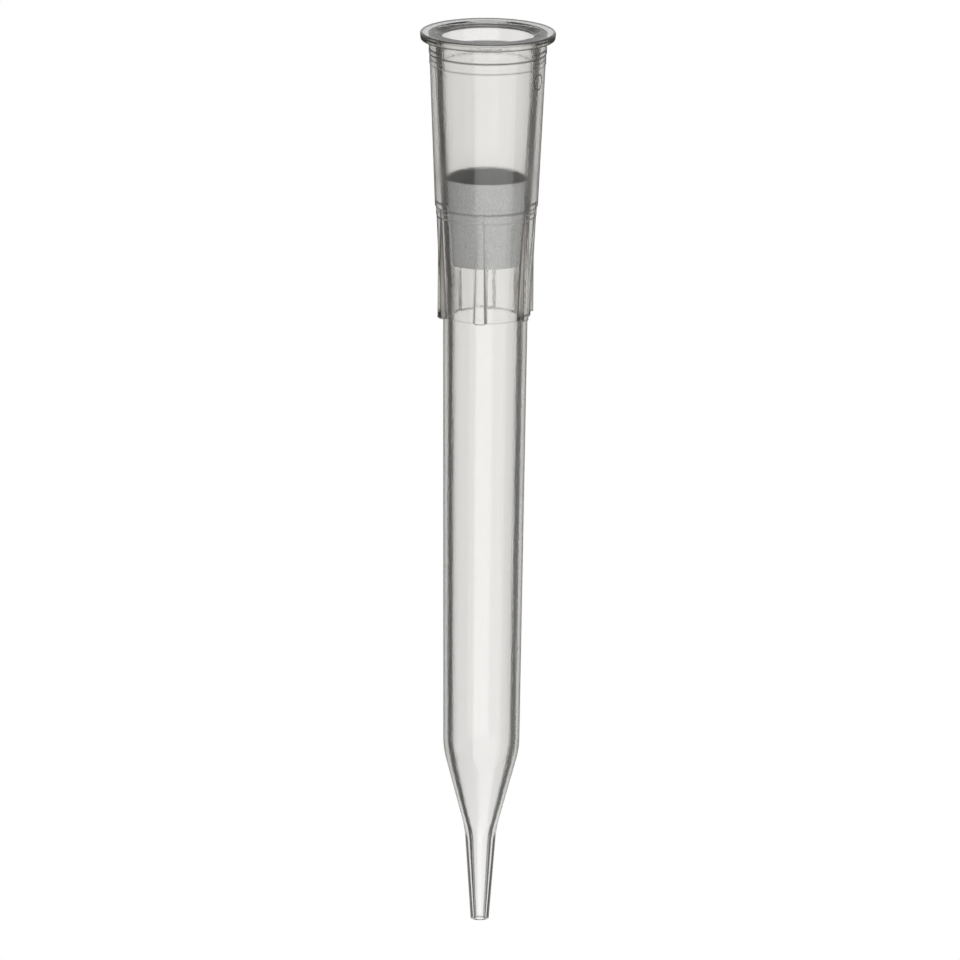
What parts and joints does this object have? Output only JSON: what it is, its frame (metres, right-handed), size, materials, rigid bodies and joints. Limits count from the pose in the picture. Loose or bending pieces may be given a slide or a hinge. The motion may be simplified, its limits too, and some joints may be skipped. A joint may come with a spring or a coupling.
{
  "type": "pipette tip",
  "caption": "Slender conical pipette tip with a flanged, ribbed socket, a pressed-in filter plug and a fine nozzle, standing on its rim.",
  "frame": {"origin": "on the ground, at the centre of the rim, on the tip's own axis", "axes": "+Z from the mouth to the nozzle, along the tip's own axis; the tip stands on its rim, mouth down"},
  "size_m": [0.0078, 0.0078, 0.053],
  "materials": {
    "clear_polypropylene": "polished collar, slightly satin barrel, translucent",
    "porous_polyethylene": "fine sintered grain"
  },
  "bodies": {
    "root": {"tip_body": "clear_polypropylene", "filter_plug": "porous_polyethylene"}
  },
  "joints": []
}
